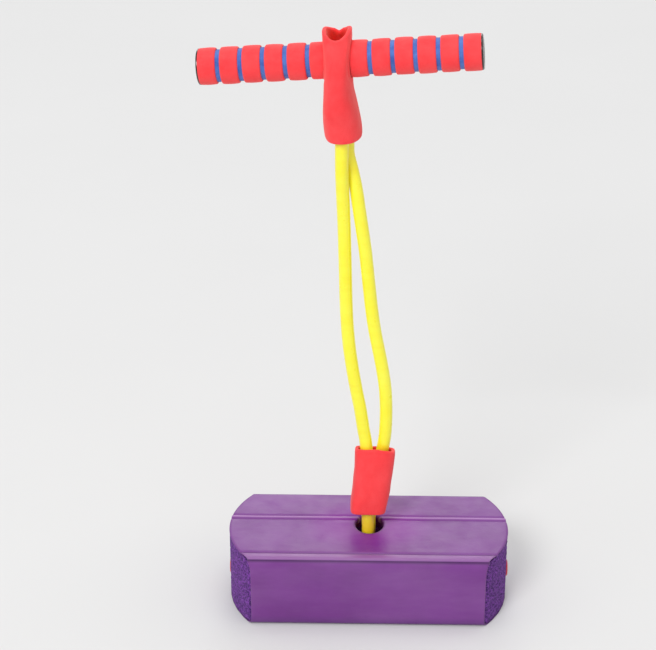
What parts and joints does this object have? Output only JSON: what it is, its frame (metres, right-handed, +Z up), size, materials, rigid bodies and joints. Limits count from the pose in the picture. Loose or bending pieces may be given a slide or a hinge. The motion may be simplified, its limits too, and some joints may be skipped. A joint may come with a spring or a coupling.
{
  "type": "foam pogo jumper",
  "caption": "Foam jumping toy: a foam block to stand on, a looped elastic cord rising from its middle through a foam sleeve, and a crossbar handle with banded foam grips",
  "frame": {"origin": "middle of the block's underside, on the surface it stands on", "axes": "+X along the block to the right hand of someone facing its front, -Y is the front, +Z up"},
  "size_m": [0.3014, 0.122, 0.6038],
  "materials": {
    "foam_skin": "smooth semi-gloss closed-cell foam skin, purple",
    "foam_cut": "raw-cut cellular foam, dark purple",
    "rod_steel": "plated steel tube",
    "plug_red": "moulded red plastic plug",
    "white_plastic": "plain white moulded plastic",
    "latex": "smooth yellow latex tube",
    "binding_black": "black wrapped band",
    "sleeve_foam": "red closed-cell foam tube, fine grain",
    "grip_red": "red closed-cell foam, fine grain",
    "grip_blue": "blue closed-cell foam under the red bands",
    "cap_black": "dark glossy plastic end cap"
  },
  "bodies": {
    "base": {"foam_wrap": "foam_skin", "foam_core": "foam_cut", "anchor_rod": "rod_steel", "rod_plug_left": "plug_red", "rod_plug_right": "plug_red", "squeaker_shell": "white_plastic", "squeaker_reed": "white_plastic"},
    "cord_root": {"bungee_lower_loop": "latex"},
    "cord": {"bungee_left_strand": "latex", "bungee_right_strand": "latex", "cord_binding": "binding_black"},
    "collar": {"lower_sleeve": "sleeve_foam"},
    "cord_top": {"bungee_left_riser": "latex", "bungee_right_riser": "latex"},
    "yoke": {"bungee_upper_loop": "latex", "upper_sleeve": "sleeve_foam"},
    "handlebar": {"handle_tube": "white_plastic", "left_grip_liner": "grip_blue", "left_grip_ring_1": "grip_red", "left_grip_ring_2": "grip_red", "left_grip_ring_3": "grip_red", "left_grip_ring_4": "grip_red", "left_grip_ring_5": "grip_red", "left_grip_ring_6": "grip_red", "left_end_cap": "cap_black", "right_grip_liner": "grip_blue", "right_grip_ring_1": "grip_red", "right_grip_ring_2": "grip_red", "right_grip_ring_3": "grip_red", "right_grip_ring_4": "grip_red", "right_grip_ring_5": "grip_red", "right_grip_ring_6": "grip_red", "right_end_cap": "cap_black"}
  },
  "joints": [
    {"name": "cord_lean_fore_aft", "type": "hinge", "parent": "base", "child": "cord_root", "pos_m": [0, 0.005, 0.072], "axis": [1, 0, 0], "range_deg": [-20, 20], "stiffness_Nm_per_rad": 5, "deforming": ["bungee_lower_loop"]},
    {"name": "cord_lean_side", "type": "hinge", "parent": "cord_root", "child": "cord", "pos_m": [0, 0.005, 0.072], "axis": [0, 1, 0], "range_deg": [-20, 20], "stiffness_Nm_per_rad": 5},
    {"name": "lower_sleeve_slide", "type": "slide", "parent": "cord", "child": "collar", "axis": [0.0852, 0, 0.9964], "range_m": [-0.004, 0.008]},
    {"name": "cord_stretch", "type": "slide", "parent": "cord", "child": "cord_top", "axis": [-0.0617, 0, 0.9981], "range_m": [0, 0.25], "stiffness_N_per_m": 400, "deforming": ["bungee_left_strand", "bungee_right_strand"]},
    {"name": "handle_twist", "type": "hinge", "parent": "cord_top", "child": "yoke", "pos_m": [-0.031, 0.005, 0.5735], "axis": [-0.0696, 0.0049, 0.9976], "range_deg": [-60, 60], "stiffness_Nm_per_rad": 0.5, "deforming": ["bungee_left_riser", "bungee_right_riser"]},
    {"name": "bar_roll", "type": "hinge", "parent": "yoke", "child": "handlebar", "pos_m": [-0.031, 0.005, 0.5735], "axis": [0.9934, -0.0695, 0.0915], "continuous": true}
  ]
}
